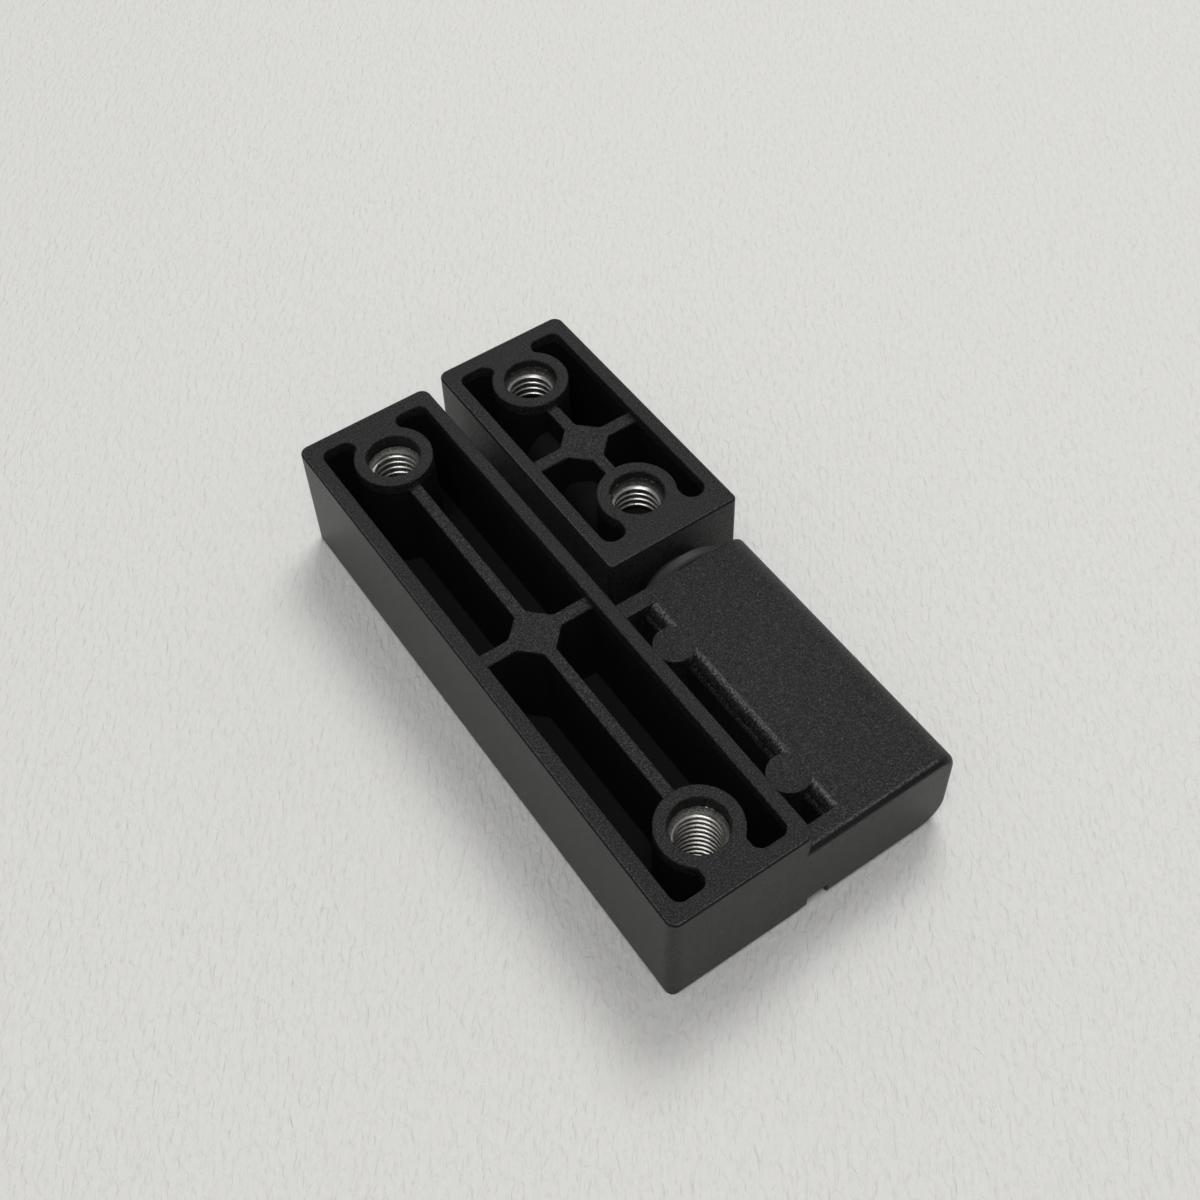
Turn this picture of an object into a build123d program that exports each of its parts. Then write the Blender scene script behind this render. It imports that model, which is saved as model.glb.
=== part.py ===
from build123d import *
import math
import os

# A lift-off door hinge, lying with its mounting faces up, closed, as it sits on a frame and a door.
# The origin is midway between the frame leaf's two screws, on the mounting face. +X runs from the frame
# leaf to the door leaf, +Y along the hinge pin, the way the door lifts off, and +Z out of the mounting face.

# ---- driving dimensions, in millimetres ----
FRAME_LEAF_WIDTH = 23.4
DOOR_LEAF_WIDTH = 23.6
LEAF_HEIGHT = 21.2
FRAME_LENGTH = 100.0
DOOR_LENGTH = 49.7
LEAF_GAP = 3.1
DRAFT_ANGLE = 0.7  # degrees, mould draft of the outer walls

FRAME_SCREW_SPACING = 80.0
DOOR_SCREW_SPACING = 30.0

KNUCKLE_LENGTH = 48.0
KNUCKLE_HEIGHT = 17.4
KNUCKLE_INSET = 1.2  # the knuckle's outer wall stands this far inside the door leaf's

PIN_HEIGHT = 9.1  # pin axis above the front face
PIN_RADIUS = 3.0
PIN_DEPTH_IN_KNUCKLE = 36.0
PIN_STAND_OUT = 34.0  # pin length beyond the knuckle

WASHER_RADIUS = 8.95
WASHER_THICKNESS = 1.8
RUNNING_CLEARANCE = 0.05
DOOR_LIFT = 1.2  # the door leaf hangs this far off its seat on the washer

# ---- walls and ribs of the leaves ----
WALL = 2.5
GAP_WALL = 2.3  # the walls along the gap between the leaves
FAR_WALL = 2.9
FRONT_FLOOR = 2.6
DOOR_NEAR_WALL = 4.0
CORNER_RADIUS = 1.6
DOOR_NEAR_CORNER_RADIUS = 0.9
FACE_EDGE_RADIUS = 0.45
FRONT_EDGE_RADIUS = 1.0
GAP_EDGE_RADIUS = 4.0  # front edge along the gap between the leaves
OUTER_EDGE_RADIUS = 5.0  # front edge along the door side
RIB_WIDTH = 2.0
CROSS_RIB_WIDTH = 2.3
CROSS_RIB_OFFSET = -0.45  # from midway between the screws
RIB_RECESS = 1.5
PAD_WIDTH = 7.1  # square pad, set cornerwise where the ribs cross
PAD_REACH = 5.0  # farthest that the pad's corners with the ribs lie from its middle
RIB_FILLET = 0.9
RIB_EDGE_RADIUS = 0.2
RIM_EDGE_RADIUS = 0.25
POCKET_CORNER_RADIUS = 1.5
DOOR_NEAR_POCKET_RADIUS = 1.8
WEB_WIDTH = 7.9  # joins a boss to its end wall
DOOR_NEAR_WEB_WIDTH = 11.0
BOSS_NECK_FILLET = 0.6

BOSS_RADIUS = 6.25
BORE_RADIUS = 4.25  # opening in a boss, over its insert
FRAME_INSERT_RECESS = 2.5
DOOR_INSERT_RECESS = 1.6
FRAME_INSERT_LENGTH = 14.0
DOOR_INSERT_LENGTH = 6.3

# ---- knuckle details ----
KNUCKLE_TOP_RADIUS = 3.7
KNUCKLE_NEAR_RADIUS = 1.3
SLOT_WIDTH = 4.9
SLOT_LIP_RADIUS = 2.3
SLOT_FLOOR = 4.5
SLOT_NEAR_WALL = 3.3
SLOT_FAR_WALL = 2.8
EJECTOR_PAD_RADIUS = 3.2
EJECTOR_PAD_X = 4.4  # from the frame leaf's wall
EJECTOR_PAD_Y = (11.0, 37.4)  # from the knuckle's near face
GROOVE_WIDTH = 3.8  # shallow groove on the front, between leaf and knuckle
GROOVE_DEPTH = 1.0
NOTCH_HEIGHT = 2.9  # notch in the near face, where the groove ends
NOTCH_DEPTH = 1.0
NOTCH_RADIUS = 0.5
SLOT_FLOOR_RADIUS = 1.5
ROOT_OVERLAP = 4.0  # how far the knuckle's solid runs into the frame leaf's

# ---- bush and inserts ----
BUSH_FLANGE_RADIUS = 6.0
BUSH_FLANGE_THICKNESS = 1.75
BUSH_FLANGE_STAND = 0.6  # how far the flange stands out of the leaf
BUSH_RADIUS = 3.6
BARREL_RADIUS = 5.6
BARREL_RIB_WIDTH = 6.0
BARREL_END_WALL = 1.6
PIN_TIP_ROOM = 2.0  # free length beyond the pin's tip
PIN_CHAMFER = 0.7
THREAD_MINOR_RADIUS = 3.32  # of an M8 thread
INSERT_RADIUS = 5.2
INSERT_GROOVE_DEPTH = 0.5
INSERT_GROOVE_WIDTH = 0.9
INSERT_BANDS = 3
WASHER_CHAMFER = 0.3

TOLERANCE = 0.01  # for telling faces apart
RIB_END_TOLERANCE = 0.1

# ---- places worked out from them ----
FRONT_Z = -LEAF_HEIGHT
KNUCKLE_TOP_Z = FRONT_Z + KNUCKLE_HEIGHT
PIN_Z = FRONT_Z + PIN_HEIGHT
FRAME_NEAR_Y = -FRAME_LENGTH / 2
FRAME_WALL_X = FRAME_LEAF_WIDTH / 2
DOOR_X = FRAME_WALL_X + LEAF_GAP + DOOR_LEAF_WIDTH / 2
KNUCKLE_FAR_Y = FRAME_NEAR_Y + KNUCKLE_LENGTH
KNUCKLE_OUTER_X = DOOR_X + DOOR_LEAF_WIDTH / 2 - KNUCKLE_INSET
WASHER_FAR_Y = KNUCKLE_FAR_Y + WASHER_THICKNESS
BUSH_NEAR_Y = WASHER_FAR_Y + DOOR_LIFT
DOOR_NEAR_Y = BUSH_NEAR_Y + BUSH_FLANGE_STAND
DOOR_Y = DOOR_NEAR_Y + DOOR_LENGTH / 2
PIN_TIP_Y = KNUCKLE_FAR_Y + PIN_STAND_OUT
BORE_END_Y = PIN_TIP_Y + PIN_TIP_ROOM
DRAFT_OFFSET = LEAF_HEIGHT * math.tan(math.radians(DRAFT_ANGLE))


def rounded_bar(plane, low, high, length, radii):
    """A bar along the plane's normal. radii round its corners, from low in both directions, anticlockwise."""
    corners = [low, (high[0], low[1]), high, (low[0], high[1])]
    with BuildPart() as bar:
        with BuildSketch(plane) as section:
            with BuildLine():
                Polyline(*corners, close=True)
            make_face()
            for corner, radius in zip(corners, radii):
                if radius > 0:
                    fillet(section.vertices().sort_by_distance(corner)[0], radius)
        extrude(amount=length)
    return bar.part


def leaf_block(x, y, width, length, low_x_radius, high_x_radius, near_corner_radius):
    """The outer block of a leaf: a drafted plan outline with its long and short front edges rounded."""
    half_width = width / 2 + DRAFT_OFFSET
    half_length = length / 2 + DRAFT_OFFSET
    across = (low_x_radius, high_x_radius, 0, 0)
    along = (FRONT_EDGE_RADIUS, FRONT_EDGE_RADIUS, 0, 0)
    with BuildPart() as block:
        with BuildSketch(Plane.XY) as plan:
            with Locations((x, y)):
                Rectangle(width, length)
            fillet(plan.vertices().group_by(Axis.Y)[0], near_corner_radius)
            fillet(plan.vertices().group_by(Axis.Y)[-1], CORNER_RADIUS)
        extrude(amount=-LEAF_HEIGHT, taper=-DRAFT_ANGLE)
        fillet(block.faces().sort_by(Axis.Z)[-1].edges(), FACE_EDGE_RADIUS)
        end_plane = Plane.XZ.offset(-y - half_length)
        low, high = (x - half_width, FRONT_Z), (x + half_width, 0)
        add(rounded_bar(end_plane, low, high, 2 * half_length, across), mode=Mode.INTERSECT)
        side_plane = Plane.YZ.offset(x - half_width)
        low, high = (y - half_length, FRONT_Z), (y + half_length, 0)
        add(rounded_bar(side_plane, low, high, 2 * half_width, along), mode=Mode.INTERSECT)
    return block.part


def boss_web(x, screw_y, end_y, width):
    """Takes a boss and the web that joins it to its end wall out of a pocket's outline."""
    with Locations((x, screw_y)):
        Circle(BOSS_RADIUS, mode=Mode.SUBTRACT)
    with Locations((x, (screw_y + end_y) / 2)):
        Rectangle(width, abs(end_y - screw_y), mode=Mode.SUBTRACT)


def pocket_outline(low, high, x, screw_ys, near_web, near_radius):
    """The pocket between two opposite corners, without its two bosses, centred on x, and their webs."""
    ends = [
        (screw_ys[0], low[1], near_web, near_radius),
        (screw_ys[1], high[1], WEB_WIDTH, POCKET_CORNER_RADIUS),
    ]
    with BuildSketch(Plane.XY) as outline:
        with BuildLine():
            Polyline(low, (high[0], low[1]), high, (low[0], high[1]), close=True)
        make_face()
        for screw_y, end_y, web, _ in ends:
            boss_web(x, screw_y, end_y, web)
        for screw_y, end_y, web, radius in ends:
            neck_y = screw_y + math.copysign(math.sqrt(BOSS_RADIUS**2 - (web / 2) ** 2), end_y - screw_y)
            for corner_x in (low[0], x - web / 2, x + web / 2, high[0]):
                fillet(outline.vertices().sort_by_distance((corner_x, end_y))[0], radius)
            for side_x in (x - web / 2, x + web / 2):
                fillet(outline.vertices().sort_by_distance((side_x, neck_y))[0], BOSS_NECK_FILLET)
    return outline.sketch


def rib_cross(x, y, length):
    """The lengthwise and cross ribs with the square pad where they meet."""
    middle_y = y + CROSS_RIB_OFFSET
    with BuildSketch(Plane.XY) as cross:
        with Locations((x, y)):
            Rectangle(RIB_WIDTH, length)
        with Locations((x, middle_y)):
            Rectangle(DOOR_LEAF_WIDTH, CROSS_RIB_WIDTH)
            Rectangle(PAD_WIDTH, PAD_WIDTH, rotation=45)
        middle = Vertex(x, middle_y, 0)
        fillet(cross.vertices().filter_by(lambda corner: corner.distance_to(middle) < PAD_REACH), RIB_FILLET)
    return cross.sketch


def cut_pocket(outline, ribs):
    """Cuts a pocket to its front floor, leaving the ribs a little below the mounting face."""
    extrude(outline, amount=-RIB_RECESS, mode=Mode.SUBTRACT)
    with BuildSketch(Plane.XY) as quarters:
        add(outline)
        add(ribs, mode=Mode.SUBTRACT)
    extrude(quarters.sketch, amount=-(LEAF_HEIGHT - FRONT_FLOOR), mode=Mode.SUBTRACT)


def bore_bosses(x, y, screw_spacing, recess, insert_length):
    """The openings in the two bosses, and below them the wider seats of the moulded-in inserts."""
    screws = [(x, y - screw_spacing / 2), (x, y + screw_spacing / 2)]
    with BuildSketch(Plane.XY) as openings:
        with Locations(*screws):
            Circle(BORE_RADIUS)
    extrude(openings.sketch, amount=-recess, mode=Mode.SUBTRACT)
    with BuildSketch(Plane.XY.offset(-recess)) as seats:
        with Locations(*screws):
            Circle(INSERT_RADIUS)
    extrude(seats.sketch, amount=-insert_length, mode=Mode.SUBTRACT)


def soften_pocket(leaf):
    """Breaks the sharp edges of a leaf's rim and bores, and those along the tops of its ribs."""
    rib_top = leaf.faces().filter_by_position(Axis.Z, -RIB_RECESS - TOLERANCE, -RIB_RECESS + TOLERANCE)[0]
    rib_sides = rib_top.edges()
    for width in (RIB_WIDTH, CROSS_RIB_WIDTH):
        rib_sides = rib_sides.filter_by(lambda edge: abs(edge.length - width) > RIB_END_TOLERANCE)
    fillet(rib_sides, RIB_EDGE_RADIUS)
    rim = leaf.faces().sort_by(Axis.Z)[-1]
    fillet([edge for wire in rim.inner_wires() for edge in wire.edges()], RIM_EDGE_RADIUS)


# ---- knuckle: a solid barrel block beside the frame leaf, cored out along the leaf ----
slot_near_y = FRAME_NEAR_Y + SLOT_NEAR_WALL
slot_far_y = KNUCKLE_FAR_Y - SLOT_FAR_WALL
slot_wall_x = FRAME_WALL_X + SLOT_WIDTH
slot_floor_z = FRONT_Z + SLOT_FLOOR
root_x = FRAME_WALL_X - ROOT_OVERLAP

with BuildPart() as knuckle:
    with BuildSketch(Plane.XY):
        with Locations(((root_x + KNUCKLE_OUTER_X) / 2, (FRAME_NEAR_Y + KNUCKLE_FAR_Y) / 2)):
            Rectangle(KNUCKLE_OUTER_X - root_x, KNUCKLE_LENGTH)
    extrude(amount=-LEAF_HEIGHT, taper=-DRAFT_ANGLE)
    split(bisect_by=Plane.XY.offset(KNUCKLE_TOP_Z), keep=Keep.BOTTOM)
    # the far end is cut square to the pin, as a bearing face
    split(bisect_by=Plane.XZ.offset(-KNUCKLE_FAR_Y), keep=Keep.TOP)
    fillet(knuckle.faces().sort_by(Axis.Z)[-1].edges().sort_by(Axis.X)[-1], KNUCKLE_TOP_RADIUS)
    fillet(knuckle.faces().sort_by(Axis.Z)[0].edges().sort_by(Axis.X)[-1], OUTER_EDGE_RADIUS)
    near_face = knuckle.faces().sort_by(Axis.Y)[0]
    fillet(near_face.edges().sort_by(Axis.X)[1:], KNUCKLE_NEAR_RADIUS)
    # the coring slot beside the leaf, with a rounded lip on the knuckle's side
    with BuildSketch(Plane.XZ.offset(-slot_far_y)) as slot:
        with Locations((root_x, slot_floor_z)):
            Rectangle(slot_wall_x - root_x, LEAF_HEIGHT, align=(Align.MIN, Align.MIN))
        fillet(slot.vertices().sort_by_distance((slot_wall_x, slot_floor_z))[0], SLOT_FLOOR_RADIUS)
        with Locations((slot_wall_x, KNUCKLE_TOP_Z - SLOT_LIP_RADIUS)):
            Rectangle(SLOT_LIP_RADIUS, LEAF_HEIGHT, align=(Align.MIN, Align.MIN))
        with Locations((slot_wall_x + SLOT_LIP_RADIUS, KNUCKLE_TOP_Z - SLOT_LIP_RADIUS)):
            Circle(SLOT_LIP_RADIUS, mode=Mode.SUBTRACT)
    extrude(amount=slot_far_y - slot_near_y, mode=Mode.SUBTRACT)
    # two round ejector columns stand in the slot, flush with the knuckle's top
    with BuildSketch(Plane.XY.offset(FRONT_Z + SLOT_FLOOR / 2)):
        with Locations(*[(FRAME_WALL_X + EJECTOR_PAD_X, FRAME_NEAR_Y + y) for y in EJECTOR_PAD_Y]):
            Circle(EJECTOR_PAD_RADIUS)
    extrude(amount=KNUCKLE_HEIGHT - SLOT_FLOOR / 2)
    # the groove that carries the gap between the leaves on across the front, and the notch it ends in
    with BuildSketch(Plane.XZ.offset(-KNUCKLE_FAR_Y)):
        with Locations((FRAME_WALL_X, FRONT_Z)):
            Rectangle(GROOVE_WIDTH, GROOVE_DEPTH, align=(Align.MIN, Align.MIN))
    extrude(amount=KNUCKLE_LENGTH + DRAFT_OFFSET, mode=Mode.SUBTRACT)
    with BuildSketch(Plane.XZ.offset(-FRAME_NEAR_Y - NOTCH_DEPTH)) as notch:
        with Locations((FRAME_WALL_X, FRONT_Z)):
            Rectangle(GROOVE_WIDTH, NOTCH_HEIGHT, align=(Align.MIN, Align.MIN))
        fillet(notch.vertices().group_by(Axis.Y)[-1], NOTCH_RADIUS)
    extrude(amount=NOTCH_DEPTH + DRAFT_OFFSET, mode=Mode.SUBTRACT)
    # blind bore that the pin is pressed into
    with BuildSketch(Plane.XZ.offset(-KNUCKLE_FAR_Y)):
        with Locations((DOOR_X, PIN_Z)):
            Circle(PIN_RADIUS)
    extrude(amount=PIN_DEPTH_IN_KNUCKLE, mode=Mode.SUBTRACT)

# ---- frame leaf: the long leaf and its knuckle, one moulding ----
with BuildPart() as frame_leaf:
    add(
        leaf_block(
            0, 0, FRAME_LEAF_WIDTH, FRAME_LENGTH, FRONT_EDGE_RADIUS, GAP_EDGE_RADIUS, CORNER_RADIUS
        )
    )
    add(knuckle.part)
    low = (-FRAME_WALL_X + WALL, FRAME_NEAR_Y + WALL)
    high = (FRAME_WALL_X - GAP_WALL, FRAME_LENGTH / 2 - FAR_WALL)
    screw_ys = (-FRAME_SCREW_SPACING / 2, FRAME_SCREW_SPACING / 2)
    frame_outline = pocket_outline(low, high, 0, screw_ys, WEB_WIDTH, POCKET_CORNER_RADIUS)
    cut_pocket(frame_outline, rib_cross(0, 0, FRAME_SCREW_SPACING))
    bore_bosses(0, 0, FRAME_SCREW_SPACING, FRAME_INSERT_RECESS, FRAME_INSERT_LENGTH)
    soften_pocket(frame_leaf)

# ---- door leaf: the short leaf, which turns on the pin and lifts off it ----
barrel_far_y = BORE_END_Y + BARREL_END_WALL
with BuildPart() as door_leaf:
    add(
        leaf_block(
            DOOR_X,
            DOOR_Y,
            DOOR_LEAF_WIDTH,
            DOOR_LENGTH,
            GAP_EDGE_RADIUS,
            OUTER_EDGE_RADIUS,
            DOOR_NEAR_CORNER_RADIUS,
        )
    )
    # the near end is cut square to the pin, as a bearing face
    with BuildSketch(Plane.XZ.offset(-DOOR_NEAR_Y)):
        with Locations((DOOR_X, FRONT_Z / 2)):
            Rectangle(2 * DOOR_LEAF_WIDTH, 2 * LEAF_HEIGHT)
    extrude(amount=2 * DRAFT_OFFSET, mode=Mode.SUBTRACT)
    low = (DOOR_X - DOOR_LEAF_WIDTH / 2 + GAP_WALL, DOOR_NEAR_Y + DOOR_NEAR_WALL)
    high = (DOOR_X + DOOR_LEAF_WIDTH / 2 - WALL, DOOR_NEAR_Y + DOOR_LENGTH - FAR_WALL)
    screw_ys = (DOOR_Y - DOOR_SCREW_SPACING / 2, DOOR_Y + DOOR_SCREW_SPACING / 2)
    door_outline = pocket_outline(low, high, DOOR_X, screw_ys, DOOR_NEAR_WEB_WIDTH, DOOR_NEAR_POCKET_RADIUS)
    cut_pocket(door_outline, rib_cross(DOOR_X, DOOR_Y, DOOR_SCREW_SPACING))
    # barrel round the pin, standing on the front wall inside the pocket
    with BuildSketch(Plane.XZ.offset(-barrel_far_y)):
        with Locations((DOOR_X, PIN_Z)):
            Circle(BARREL_RADIUS)
            Rectangle(BARREL_RIB_WIDTH, PIN_HEIGHT - FRONT_FLOOR / 2, align=(Align.CENTER, Align.MAX))
    extrude(amount=barrel_far_y - DOOR_NEAR_Y - DOOR_NEAR_WALL / 2)
    bore_bosses(DOOR_X, DOOR_Y, DOOR_SCREW_SPACING, DOOR_INSERT_RECESS, DOOR_INSERT_LENGTH)
    soften_pocket(door_leaf)
    # bore for the bush, with a counterbore for its flange
    with BuildSketch(Plane.XZ.offset(-BORE_END_Y)):
        with Locations((DOOR_X, PIN_Z)):
            Circle(BUSH_RADIUS)
    extrude(amount=BORE_END_Y - DOOR_NEAR_Y, mode=Mode.SUBTRACT)
    flange_far_y = BUSH_NEAR_Y + BUSH_FLANGE_THICKNESS
    with BuildSketch(Plane.XZ.offset(-flange_far_y)):
        with Locations((DOOR_X, PIN_Z)):
            Circle(BUSH_FLANGE_RADIUS)
    extrude(amount=flange_far_y - DOOR_NEAR_Y, mode=Mode.SUBTRACT)

# ---- hinge pin: pressed into the knuckle, its free end chamfered ----
with BuildPart() as hinge_pin:
    with BuildSketch(Plane.XZ.offset(-PIN_TIP_Y)):
        with Locations((DOOR_X, PIN_Z)):
            Circle(PIN_RADIUS)
    extrude(amount=PIN_STAND_OUT + PIN_DEPTH_IN_KNUCKLE)
    chamfer(hinge_pin.edges().group_by(Axis.Y)[0] + hinge_pin.edges().group_by(Axis.Y)[-1], PIN_CHAMFER)

# ---- thrust washer: between the knuckle and the door leaf's bush ----
with BuildPart() as thrust_washer:
    with BuildSketch(Plane.XZ.offset(-WASHER_FAR_Y)):
        with Locations((DOOR_X, PIN_Z)):
            Circle(WASHER_RADIUS)
    extrude(amount=WASHER_THICKNESS)
    chamfer(thrust_washer.edges(), WASHER_CHAMFER)
    with BuildSketch(Plane.XZ.offset(-WASHER_FAR_Y)):
        with Locations((DOOR_X, PIN_Z)):
            Circle(PIN_RADIUS + RUNNING_CLEARANCE)
    extrude(amount=WASHER_THICKNESS, mode=Mode.SUBTRACT)

# ---- door bush: a flanged sleeve pressed into the door leaf ----
with BuildPart() as door_bush:
    with BuildSketch(Plane.XZ.offset(-flange_far_y)):
        with Locations((DOOR_X, PIN_Z)):
            Circle(BUSH_FLANGE_RADIUS)
    extrude(amount=BUSH_FLANGE_THICKNESS)
    with BuildSketch(Plane.XZ.offset(-PIN_TIP_Y)):
        with Locations((DOOR_X, PIN_Z)):
            Circle(BUSH_RADIUS)
    extrude(amount=PIN_TIP_Y - flange_far_y)
    with BuildSketch(Plane.XZ.offset(-PIN_TIP_Y)):
        with Locations((DOOR_X, PIN_Z)):
            Circle(PIN_RADIUS + RUNNING_CLEARANCE)
    extrude(amount=PIN_TIP_Y - BUSH_NEAR_Y, mode=Mode.SUBTRACT)


def threaded_insert(x, y, recess, length):
    """A moulded-in threaded insert, bored to its thread's minor diameter, with a countersunk mouth."""
    plane = Plane((x, y, -recess), x_dir=(1, 0, 0), z_dir=(0, 0, 1))
    band = length / INSERT_BANDS
    with BuildPart() as insert:
        with BuildSketch(plane):
            Circle(INSERT_RADIUS)
        extrude(amount=-length)
        for number in range(1, INSERT_BANDS):
            with BuildSketch(plane.offset(INSERT_GROOVE_WIDTH / 2 - number * band)):
                Circle(INSERT_RADIUS)
                Circle(INSERT_RADIUS - INSERT_GROOVE_DEPTH, mode=Mode.SUBTRACT)
            extrude(amount=-INSERT_GROOVE_WIDTH, mode=Mode.SUBTRACT)
        with BuildSketch(plane):
            Circle(THREAD_MINOR_RADIUS)
        extrude(amount=-length, mode=Mode.SUBTRACT)
        mouth = insert.edges().group_by(Axis.Z)[-1].sort_by(SortBy.LENGTH)[0]
        chamfer(mouth, BORE_RADIUS - THREAD_MINOR_RADIUS)
    return insert.part


frame_insert_near = threaded_insert(0, -FRAME_SCREW_SPACING / 2, FRAME_INSERT_RECESS, FRAME_INSERT_LENGTH)
frame_insert_far = threaded_insert(0, FRAME_SCREW_SPACING / 2, FRAME_INSERT_RECESS, FRAME_INSERT_LENGTH)
door_insert_near = threaded_insert(
    DOOR_X, DOOR_Y - DOOR_SCREW_SPACING / 2, DOOR_INSERT_RECESS, DOOR_INSERT_LENGTH
)
door_insert_far = threaded_insert(
    DOOR_X, DOOR_Y + DOOR_SCREW_SPACING / 2, DOOR_INSERT_RECESS, DOOR_INSERT_LENGTH
)

frame_leaf.part.label = "frame_leaf"
door_leaf.part.label = "door_leaf"
hinge_pin.part.label = "hinge_pin"
thrust_washer.part.label = "thrust_washer"
door_bush.part.label = "door_bush"
frame_insert_near.label = "frame_insert_near"
frame_insert_far.label = "frame_insert_far"
door_insert_near.label = "door_insert_near"
door_insert_far.label = "door_insert_far"

os.makedirs("parts", exist_ok=True)
pieces = [
    frame_leaf.part,
    door_leaf.part,
    hinge_pin.part,
    thrust_washer.part,
    door_bush.part,
    frame_insert_near,
    frame_insert_far,
    door_insert_near,
    door_insert_far,
]
for piece in pieces:
    export_step(piece, f"parts/{piece.label}.step")
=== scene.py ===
"""Looks of a lift-off hinge: its leaves, pin, washer and bush get procedural materials, and its
four plain inserts are replaced by ones with a true thread. All sizes are in metres."""
import math

import bmesh
import bpy
from mathutils import Matrix, Vector


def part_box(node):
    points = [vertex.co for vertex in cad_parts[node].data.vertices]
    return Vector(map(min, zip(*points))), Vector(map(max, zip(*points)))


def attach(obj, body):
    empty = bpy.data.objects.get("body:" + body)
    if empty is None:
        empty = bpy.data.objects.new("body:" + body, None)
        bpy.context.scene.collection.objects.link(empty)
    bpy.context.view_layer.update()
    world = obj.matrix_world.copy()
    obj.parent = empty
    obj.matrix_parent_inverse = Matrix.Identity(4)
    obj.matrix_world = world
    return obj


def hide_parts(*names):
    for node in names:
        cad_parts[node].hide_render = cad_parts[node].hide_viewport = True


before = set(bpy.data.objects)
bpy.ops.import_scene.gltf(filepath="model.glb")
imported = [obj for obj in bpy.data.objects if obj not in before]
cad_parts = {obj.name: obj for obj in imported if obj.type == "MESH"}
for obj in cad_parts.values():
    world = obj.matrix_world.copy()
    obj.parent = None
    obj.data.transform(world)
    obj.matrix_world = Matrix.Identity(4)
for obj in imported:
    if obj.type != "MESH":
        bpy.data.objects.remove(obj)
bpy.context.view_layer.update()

MM = 0.001
FLOOR_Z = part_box("frame_leaf")[0].z

# ---- camera: where it stands, and its own right and up directions ----
CAMERA_AT = (-0.06239, -0.11597, 0.18137)
CAMERA_RIGHT = (0.8227, -0.5678, -0.0266)
CAMERA_UP = (0.4688, 0.6513, 0.5967)
CAMERA_LENS = 46.70
CAMERA_SENSOR = 36.0
CAMERA_CLIP_START = 0.01

# ---- light: two square softboxes and an even surround ----
WORLD_COLOR = (1.0, 0.995, 0.98, 1)
WORLD_STRENGTH = 0.28
SOFTBOX_DISTANCE = 1.5
SOFTBOX_SIZE = 0.6
KEY_DIRECTION = (0.48, 0.38, 1.0)
KEY_ENERGY = 9.2
FILL_DIRECTION = (-0.2, -0.25, 1.0)
FILL_ENERGY = 6.4

# ---- floor: noise scales here and below are per metre ----
FLOOR_SIZE = 4.0
FLOOR_COLOR = (0.815, 0.81, 0.79, 1)
WRINKLE_SCALE = 1100
WRINKLE_RELIEF = 0.7 * MM
WRINKLE_TURN = math.radians(-36)
WRINKLE_STRETCH = 2.6

# ---- leaf plastic: where it differs ----
POCKET_INSET = Vector((1.6, 1.6, 2.4)) * MM  # the pocket's surfaces lie at least this far inside the leaf
POCKET_BLUR = 0.4 * MM
HIGH_ABOVE = 1.0  # a height far above the hinge
SLOT_LIP_LOW = Vector((16.6, -46.4, -6.8)) * MM  # the lip of the knuckle's coring slot
SLOT_LIP_HIGH = Vector((18.3, -5.0, -3.7)) * MM
SLOT_LIP_BLUR = 0.25 * MM
# bands of the normal's upright share: where they fade in from below, and where from above
BROW_HIGHLIGHT_BAND = ((0.84, 0.9), (0.99, 0.96))  # the first turn of a rounded edge, which gets a painted highlight
EDGE_SHADE_BAND = ((0.2, 0.4), (0.9, 0.78))  # the rest of it, which gets painted shade

# ---- leaf plastic: noise scales and linear greys ----
GRAIN_SCALE = 2900
FINE_SCALE = 6500
FLECK_SCALE = 4900
BROAD_SCALE = 1500
PATCH_SCALE = 90
GRAIN_DARK = 0.003
GRAIN_LIGHT = 0.028
PATCH_GREY = 0.02
FLECK_GREY = 0.085
# painted highlight: a light grey put on spots of the slot's lip, standing in for light on its rough surface
SLOT_LIP_HIGHLIGHT_GREY = 0.22
# painted highlight along the brow of rounded edges
BROW_HIGHLIGHT_GREY = 0.11
# painted shade on the rest of rounded edges, standing in for a dark reflection
EDGE_SHADE_GREY = 0.002
# painted shade: a darker grey for the inside of the pocket
POCKET_SHADE_GREY = 0.008
LEAF_RELIEF = 0.2 * MM

# ---- insert steel, pin steel and bearing plastic: noise scales and linear colours ----
INSERT_TONE_SCALE = 1500
INSERT_SPOT_SCALE = 5200
INSERT_DARK = (0.46, 0.45, 0.43, 1)
INSERT_LIGHT = (0.62, 0.61, 0.58, 1)
RIM_DARK = (0.10, 0.10, 0.095, 1)
RIM_LIGHT = (0.52, 0.52, 0.49, 1)
FLASH_GREY = 0.012
INSERT_RELIEF = 0.12 * MM
PIN_MARK_SCALE = 9000
PIN_TONE_SCALE = 500
PIN_DARK = (0.47, 0.47, 0.46, 1)
PIN_LIGHT = (0.58, 0.58, 0.57, 1)
PIN_RELIEF = 0.01 * MM
BEARING_TONE_SCALE = 900
BEARING_SPECK_SCALE = 4200
BEARING_GREY = 0.04
BEARING_RELIEF = 0.04 * MM
MOST_NOISE = (0.3, 0.7)  # nearly all of a noise texture's values lie between these

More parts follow.
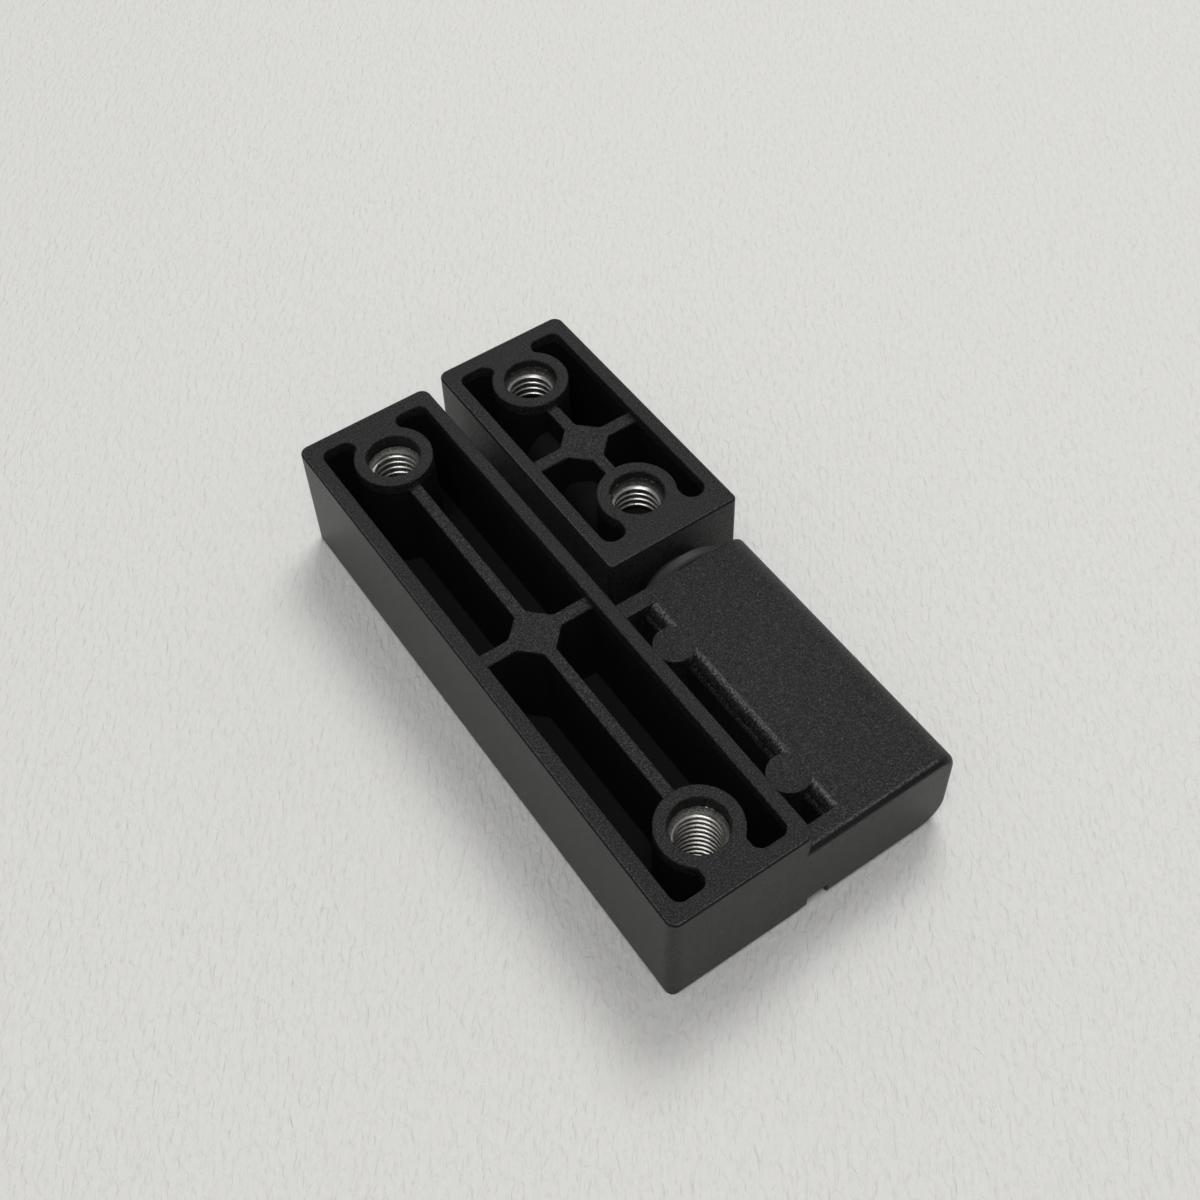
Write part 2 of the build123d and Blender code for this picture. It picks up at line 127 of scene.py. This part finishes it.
# ---- inserts: a right-handed M8 thread in a plain sleeve ----
THREAD_PITCH = 1.25 * MM
THREAD_MAJOR = 4.0 * MM
THREAD_MINOR = 3.32 * MM
THREAD_ROOT = 0.12  # share of the pitch that is flat at the major radius
THREAD_CREST = 0.25  # share that is flat at the minor radius
FLANK_STEPS = 5
ROUND_STEPS = 96
MOUTH_RADIUS = 4.2 * MM
MOUTH_SLOPE = {"frame": 1.0, "door": 0.6}  # radius lost per depth in the countersunk mouth
MOUTH_FLASH = {"frame": 0.6, "door": 0.9}  # how far the black plastic has run over the mouth's edge
FOOT_SLOPE = 2.0
SLEEVE_GROOVE_DEPTH = 0.5 * MM  # the same grooves as the CAD sleeves
SLEEVE_GROOVE_WIDTH = 0.9 * MM
SLEEVE_BANDS = 3
SLEEVE_BEVEL = 0.12 * MM
RIM_RINGS = 6
SHARP_ANGLE = math.radians(40)
MERGE_DISTANCE = 1e-7


class Nodes:
    """Short calls for adding and linking the nodes of one material."""

    def __init__(self, tree):
        self.tree = tree

    def set(self, socket, value):
        if isinstance(value, bpy.types.NodeSocket):
            self.tree.links.new(value, socket)
        else:
            socket.default_value = value

    def add(self, kind, inputs=None, **settings):
        node = self.tree.nodes.new(kind)
        for key, value in settings.items():
            setattr(node, key, value)
        for key, value in (inputs or {}).items():
            self.set(node.inputs[key], value)
        return node

    def place(self):
        return self.add("ShaderNodeTexCoord").outputs["Object"]

    def facing(self):
        """The X, Y and Z shares of the surface's normal."""
        normal = self.add("ShaderNodeTexCoord").outputs["Normal"]
        return self.add("ShaderNodeSeparateXYZ", {0: normal}).outputs

    def noise(self, vector, scale, detail=2.0, roughness=0.5, distortion=0.0):
        values = {"Vector": vector, "Scale": scale, "Detail": detail, "Roughness": roughness}
        values["Distortion"] = distortion
        return self.add("ShaderNodeTexNoise", values).outputs["Fac"]

    def ramp(self, factor, low, high, to_min=0.0, to_max=1.0):
        values = {"Value": factor, "From Min": low, "From Max": high, "To Min": to_min, "To Max": to_max}
        return self.add("ShaderNodeMapRange", values).outputs["Result"]

    def band(self, factor, fade_in, fade_out):
        """1 where the factor lies between two fades."""
        return self.times(self.ramp(factor, *fade_in), self.ramp(factor, *fade_out))

    def math(self, operation, a, b=0.0):
        return self.add("ShaderNodeMath", {0: a, 1: b}, operation=operation).outputs[0]

    def times(self, a, b):
        return self.math("MULTIPLY", a, b)

    def plus(self, a, b):
        return self.math("ADD", a, b)

    def vector(self, operation, a, b=(0.0, 0.0, 0.0)):
        return self.add("ShaderNodeVectorMath", {0: a, 1: b}, operation=operation).outputs["Vector"]

    def inside(self, where, low, high, blur):
        """1 inside a box, falling to 0 over a short way beyond it."""
        middle = (low + high) / 2
        half = (high - low) / 2
        offset = self.vector("ABSOLUTE", self.vector("SUBTRACT", where, middle))
        beyond = self.add("ShaderNodeSeparateXYZ", {0: self.vector("SUBTRACT", offset, half)}).outputs
        farthest = self.math("MAXIMUM", self.math("MAXIMUM", beyond[0], beyond[1]), beyond[2])
        return self.ramp(farthest, 0.0, blur, 1.0, 0.0)

    def mix(self, factor, a, b):
        """A colour from a to b."""
        node = self.add("ShaderNodeMix", {"Factor": factor}, data_type="RGBA")
        self.set(node.inputs[6], a)
        self.set(node.inputs[7], b)
        return node.outputs[2]

    def bump(self, height, distance, strength=1.0):
        values = {"Height": height, "Distance": distance, "Strength": strength}
        return self.add("ShaderNodeBump", values).outputs["Normal"]

    def finish(self, **inputs):
        shader = self.add("ShaderNodeBsdfPrincipled", {k.replace("_", " "): v for k, v in inputs.items()})
        self.add("ShaderNodeOutputMaterial", {"Surface": shader.outputs[0]})


def new_material(name):
    material = bpy.data.materials.new(name)
    material.use_nodes = True
    material.node_tree.nodes.clear()
    return material, Nodes(material.node_tree)


def grey(value):
    return (value, value, value, 1)


def edge_highlight_and_shade_masks(nodes, where, low, high):
    """Masks for a painted highlight on the brow and painted shade on the rest of a leaf's rounded edges,
    outside its pocket's box. The highlight leaves out edges that face +X, and the shade is weaker there.
    """
    right, _, upright = nodes.facing()
    shaft = nodes.inside(where, low, Vector((high.x, high.y, HIGH_ABOVE)), POCKET_BLUR)
    outside = nodes.math("SUBTRACT", 1.0, shaft)
    brow_highlight = nodes.times(nodes.band(upright, *BROW_HIGHLIGHT_BAND), nodes.ramp(right, 0.15, 0.05))
    edge = nodes.times(nodes.band(upright, *EDGE_SHADE_BAND), nodes.ramp(right, 0.15, 0.5, 1.0, 0.25))
    return nodes.times(brow_highlight, outside), nodes.times(edge, outside)


def slot_lip_mask(nodes, where):
    """The lip of the coring slot, without the level tops of the columns in it."""
    lip = nodes.inside(where, SLOT_LIP_LOW, SLOT_LIP_HIGH, SLOT_LIP_BLUR)
    return nodes.times(lip, nodes.ramp(nodes.facing()[2], 0.995, 0.95))


def leaf_material(node, low, high):
    """Black moulded plastic with a spark-eroded grain, plainer and with painted shade in the pocket,
    rougher and with a painted highlight on the slot's lip, and with a painted highlight on the brow and
    painted shade on the rest of its rounded edges.
    """
    material, nodes = new_material("plastic_" + node)
    where = nodes.place()
    pocket = nodes.inside(where, low, high, POCKET_BLUR)
    lip = slot_lip_mask(nodes, where)
    brow_highlight, edge = edge_highlight_and_shade_masks(nodes, where, low, high)
    grain = nodes.noise(where, GRAIN_SCALE, detail=3.0, roughness=0.7)
    fine = nodes.noise(where, FINE_SCALE, detail=2.0)
    fleck = nodes.noise(where, FLECK_SCALE, detail=2.0, roughness=0.6)
    broad = nodes.noise(where, BROAD_SCALE, detail=4.0, roughness=0.75)
    patch = nodes.noise(where, PATCH_SCALE, detail=3.0)

    height = nodes.plus(grain, nodes.times(fine, 0.5))
    height = nodes.plus(height, nodes.times(broad, nodes.ramp(lip, 0.0, 1.0, 0.3, 1.3)))
    height = nodes.times(height, nodes.ramp(pocket, 0.0, 1.0, 1.0, 0.4))

    color = nodes.mix(nodes.ramp(grain, 0.38, 0.66), grey(GRAIN_DARK), grey(GRAIN_LIGHT))
    color = nodes.mix(nodes.ramp(patch, 0.4, 0.7, 0.0, 0.25), color, grey(PATCH_GREY))
    color = nodes.mix(nodes.ramp(fleck, 0.54, 0.68), color, grey(FLECK_GREY))
    # painted highlight on the slot's lip; its rougher grain, in the bump above, is real
    color = nodes.mix(nodes.times(lip, nodes.ramp(grain, 0.5, 0.6)), color, grey(SLOT_LIP_HIGHLIGHT_GREY))
    # painted highlight: light flecks along the brow of rounded edges
    color = nodes.mix(nodes.times(brow_highlight, nodes.ramp(fleck, 0.42, 0.6)), color, grey(BROW_HIGHLIGHT_GREY))
    # painted shade on the rest of rounded edges; their added roughness below is real
    color = nodes.mix(nodes.times(edge, 0.85), color, grey(EDGE_SHADE_GREY))
    # painted shade inside the pocket
    color = nodes.mix(pocket, color, grey(POCKET_SHADE_GREY))

    roughness = nodes.ramp(fine, *MOST_NOISE, 0.24, 0.36)
    roughness = nodes.plus(roughness, nodes.times(edge, 0.3))
    roughness = nodes.plus(roughness, nodes.times(pocket, 0.4))
    normal = nodes.bump(height, LEAF_RELIEF)
    nodes.finish(Base_Color=color, Roughness=roughness, Normal=normal, Specular_IOR_Level=0.2)
    return material


def insert_material():
    """Plated steel with machining marks, and a rim that the black plastic has run over in places."""
    material, nodes = new_material("insert_steel")
    where = nodes.place()
    tone = nodes.noise(where, INSERT_TONE_SCALE, detail=4.0, roughness=0.6)
    spots = nodes.noise(where, INSERT_SPOT_SCALE, detail=3.0, roughness=0.7)
    rim = nodes.add("ShaderNodeAttribute", attribute_name="rim").outputs["Fac"]
    on_rim = nodes.ramp(rim, 0.0, 0.15)
    flash = nodes.ramp(nodes.plus(nodes.times(rim, 0.4), spots), 0.7, 0.78)

    steel = nodes.mix(nodes.ramp(tone, *MOST_NOISE), INSERT_DARK, INSERT_LIGHT)
    dull = nodes.mix(nodes.ramp(spots, 0.35, 0.6), RIM_DARK, RIM_LIGHT)
    color = nodes.mix(flash, nodes.mix(on_rim, steel, dull), grey(FLASH_GREY))
    metallic = nodes.ramp(flash, 0.0, 1.0, 1.0, 0.0)
    roughness = nodes.plus(nodes.ramp(tone, *MOST_NOISE, 0.25, 0.37), nodes.times(on_rim, 0.25))
    height = nodes.plus(nodes.times(spots, nodes.ramp(on_rim, 0.0, 1.0, 0.15, 1.0)), flash)
    normal = nodes.bump(height, INSERT_RELIEF, 0.8)
    nodes.finish(Base_Color=color, Metallic=metallic, Roughness=roughness, Normal=normal)
    return material


def pin_material():
    """Ground steel with fine marks round the pin, which lies along Y."""
    material, nodes = new_material("pin_steel")
    where = nodes.place()
    squeeze = {"Vector": where, "Scale": (0.1, 1.0, 0.1)}
    along = nodes.add("ShaderNodeMapping", squeeze).outputs["Vector"]
    marks = nodes.noise(along, PIN_MARK_SCALE, detail=3.0, roughness=0.6)
    tone = nodes.noise(where, PIN_TONE_SCALE, detail=2.0)
    color = nodes.mix(nodes.ramp(marks, *MOST_NOISE), PIN_DARK, PIN_LIGHT)
    roughness = nodes.ramp(marks, *MOST_NOISE, 0.16, 0.26)
    roughness = nodes.plus(roughness, nodes.ramp(tone, *MOST_NOISE, 0.0, 0.05))
    normal = nodes.bump(marks, PIN_RELIEF, 0.4)
    nodes.finish(Base_Color=color, Metallic=1.0, Roughness=roughness, Normal=normal)
    return material


def bearing_material(name):
    """Smooth grey bearing plastic with a slight mottle and dark specks."""
    material, nodes = new_material(name)
    where = nodes.place()
    tone = nodes.noise(where, BEARING_TONE_SCALE, detail=3.0)
    speck = nodes.noise(where, BEARING_SPECK_SCALE, detail=2.0)
    dark = grey(BEARING_GREY * 0.85)
    light = grey(BEARING_GREY * 1.1)
    color = nodes.mix(nodes.ramp(tone, *MOST_NOISE), dark, light)
    color = nodes.mix(nodes.ramp(speck, 0.58, 0.7, 0.0, 0.3), color, grey(BEARING_GREY * 0.4))
    roughness = nodes.ramp(tone, *MOST_NOISE, 0.46, 0.56)
    normal = nodes.bump(nodes.plus(tone, nodes.times(speck, 0.3)), BEARING_RELIEF, 0.5)
    nodes.finish(Base_Color=color, Roughness=roughness, Normal=normal, Specular_IOR_Level=0.25)
    return material


def floor_material():
    """Pale embossed paper, finely wrinkled one way."""
    material, nodes = new_material("floor")
    turn = {"Vector": nodes.place(), "Rotation": (0, 0, WRINKLE_TURN), "Scale": (1, WRINKLE_STRETCH, 1)}
    along = nodes.add("ShaderNodeMapping", turn, vector_type="TEXTURE").outputs["Vector"]
    crease = nodes.noise(along, WRINKLE_SCALE, distortion=0.6)
    nodes.finish(Base_Color=FLOOR_COLOR, Roughness=0.7, Normal=nodes.bump(crease, WRINKLE_RELIEF, 0.7))
    return material


def assign(node, material):
    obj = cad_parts[node]
    obj.data.materials.clear()
    obj.data.materials.append(material)


def link(obj):
    bpy.context.scene.collection.objects.link(obj)


def thread_profile():
    """One pitch of the thread: share of the pitch and radius, from the start of its root flat."""
    flank = (1 - THREAD_ROOT - THREAD_CREST) / 2
    middle = (THREAD_MAJOR + THREAD_MINOR) / 2
    half = (THREAD_MAJOR - THREAD_MINOR) / 2
    points = [(0.0, THREAD_MAJOR)]
    for start, sign in ((THREAD_ROOT, 1), (THREAD_ROOT + flank + THREAD_CREST, -1)):
        for step in range(FLANK_STEPS + 1):
            part = step / FLANK_STEPS
            points.append((start + flank * part, middle + sign * half * math.cos(math.pi * part)))
    return points


def profile_radius(profile, share):
    """The thread's radius at a share of its pitch."""
    for (low, low_radius), (high, high_radius) in zip(profile, profile[1:]):
        if share <= high:
            return low_radius + (high_radius - low_radius) * (share - low) / (high - low)
    return THREAD_MAJOR


def sleeve_outline(outer, length):
    """The sleeve outside its thread: radius, depth and how far out on the rim, from mouth to foot."""
    ledge = outer - SLEEVE_BEVEL
    shares = [ring / RIM_RINGS for ring in range(RIM_RINGS + 1)]
    outline = [(MOUTH_RADIUS + (ledge - MOUTH_RADIUS) * share, 0.0, share) for share in shares]
    outline.append((outer, SLEEVE_BEVEL, 1.0))
    inner = outer - SLEEVE_GROOVE_DEPTH
    for number in range(1, SLEEVE_BANDS):
        start = number * length / SLEEVE_BANDS - SLEEVE_GROOVE_WIDTH / 2
        end = start + SLEEVE_GROOVE_WIDTH
        outline += [(outer, start, 0.0), (inner, start, 0.0), (inner, end, 0.0), (outer, end, 0.0)]
    outline += [(outer, length - SLEEVE_BEVEL, 0.0), (ledge, length, 0.0), (MOUTH_RADIUS, length, 0.0)]
    return outline


def insert_mesh(low, high, mouth_slope, flash):
    """The faces of an insert that fills a box: its thread and mouth, and the sleeve round them."""
    middle = (low + high) / 2
    outer = (high.x - low.x) / 2
    length = high.z - low.z
    mouth_depth = (MOUTH_RADIUS - THREAD_MINOR) / mouth_slope
    profile = thread_profile()
    rows = len(profile)
    mesh = bmesh.new()
    rim = mesh.verts.layers.float.new("rim")

    def point(step, radius, depth, rim_share=0.0):
        angle = 2 * math.pi * step / ROUND_STEPS
        at = (middle.x + radius * math.cos(angle), middle.y + radius * math.sin(angle), high.z - depth)
        vertex = mesh.verts.new(at)
        vertex[rim] = rim_share
        return vertex

    def thread_point(row, step):
        turn = step / ROUND_STEPS
        depth = (row // rows + profile[row % rows][0] - turn) * THREAD_PITCH
        depth = min(max(depth, 0.0), length)
        mouth = MOUTH_RADIUS - depth * mouth_slope
        foot = MOUTH_RADIUS - (length - depth) * FOOT_SLOPE
        radius = max(profile_radius(profile, (depth / THREAD_PITCH + turn) % 1.0), mouth, foot)
        return point(step, radius, depth, flash * max(0.0, 1 - depth / mouth_depth))

    # the rows climb as they go round, so the end of each row meets the start of the one a pitch above
    turns = math.ceil(length / THREAD_PITCH) + 2
    thread = [[thread_point(row, step) for step in range(ROUND_STEPS)] for row in range(rows * turns)]
    for row in range(len(thread) - 1):
        for step in range(ROUND_STEPS):
            across = (step + 1) % ROUND_STEPS
            climb = 0 if across else rows
            if row >= climb:
                a, b = thread[row][step], thread[row + 1][step]
                c, d = thread[row + 1 - climb][across], thread[row - climb][across]
                mesh.faces.new((a, b, c, d))
    rings = [[point(step, *at) for step in range(ROUND_STEPS)] for at in sleeve_outline(outer, length)]
    for ring, following in zip(rings, rings[1:]):
        for step in range(ROUND_STEPS):
            across = (step + 1) % ROUND_STEPS
            mesh.faces.new((ring[step], ring[across], following[across], following[step]))
    return mesh


def threaded_insert(node, body, mouth_slope, flash, material):
    """Replaces a plain CAD insert with one that has its thread and countersunk mouth."""
    mesh = insert_mesh(*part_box(node), mouth_slope, flash)
    bmesh.ops.remove_doubles(mesh, verts=mesh.verts, dist=MERGE_DISTANCE)
    bmesh.ops.recalc_face_normals(mesh, faces=mesh.faces)
    for face in mesh.faces:
        face.smooth = True
    for edge in mesh.edges:
        edge.smooth = edge.calc_face_angle(math.pi) < SHARP_ANGLE

    data = bpy.data.meshes.new(node + "_threaded")
    mesh.to_mesh(data)
    mesh.free()
    data.materials.append(material)
    piece = bpy.data.objects.new(node + "_threaded", data)
    link(piece)
    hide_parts(node)
    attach(piece, body)


def add_floor():
    half = FLOOR_SIZE / 2
    corners = [(-half, -half), (half, -half), (half, half), (-half, half)]
    mesh = bpy.data.meshes.new("floor")
    mesh.from_pydata([(x, y, FLOOR_Z) for x, y in corners], [], [(0, 1, 2, 3)])
    mesh.materials.append(floor_material())
    floor = bpy.data.objects.new("floor", mesh)
    link(floor)


def add_world():
    world = bpy.data.worlds.new("studio")
    world.use_nodes = True
    background = world.node_tree.nodes["Background"]
    background.inputs["Color"].default_value = WORLD_COLOR
    background.inputs["Strength"].default_value = WORLD_STRENGTH
    bpy.context.scene.world = world


def add_softbox(name, direction, energy):
    """A square softbox in a direction from the origin, which it faces."""
    data = bpy.data.lights.new(name, "AREA")
    data.size = SOFTBOX_SIZE
    data.energy = energy
    light = bpy.data.objects.new(name, data)
    towards = Vector(direction).normalized()
    light.location = towards * SOFTBOX_DISTANCE
    light.rotation_euler = towards.to_track_quat("Z", "Y").to_euler()
    link(light)


def add_camera():
    data = bpy.data.cameras.new("camera")
    data.sensor_width = CAMERA_SENSOR
    data.lens = CAMERA_LENS
    data.clip_start = CAMERA_CLIP_START
    camera = bpy.data.objects.new("camera", data)
    right = Vector(CAMERA_RIGHT).normalized()
    up = Vector(CAMERA_UP).normalized()
    rotation = Matrix((right, up, right.cross(up))).transposed().to_4x4()
    camera.matrix_world = Matrix.Translation(CAMERA_AT) @ rotation
    link(camera)
    bpy.context.scene.camera = camera


# ---- the hinge ----
for leaf in ("frame_leaf", "door_leaf"):
    low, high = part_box(leaf)
    if leaf == "frame_leaf":
        high.x = -low.x  # leaves the knuckle out
    assign(leaf, leaf_material(leaf, low + POCKET_INSET, high - POCKET_INSET))
assign("hinge_pin", pin_material())
assign("thrust_washer", bearing_material("washer_plastic"))
assign("door_bush", bearing_material("bush_plastic"))
steel = insert_material()
for body in ("frame", "door"):
    for end in ("near", "far"):
        threaded_insert(f"{body}_insert_{end}", body, MOUTH_SLOPE[body], MOUTH_FLASH[body], steel)

# ---- the stage ----
add_floor()
add_world()
add_softbox("key", KEY_DIRECTION, KEY_ENERGY)
add_softbox("fill", FILL_DIRECTION, FILL_ENERGY)
add_camera()
bpy.context.scene.view_settings.view_transform = "Standard"
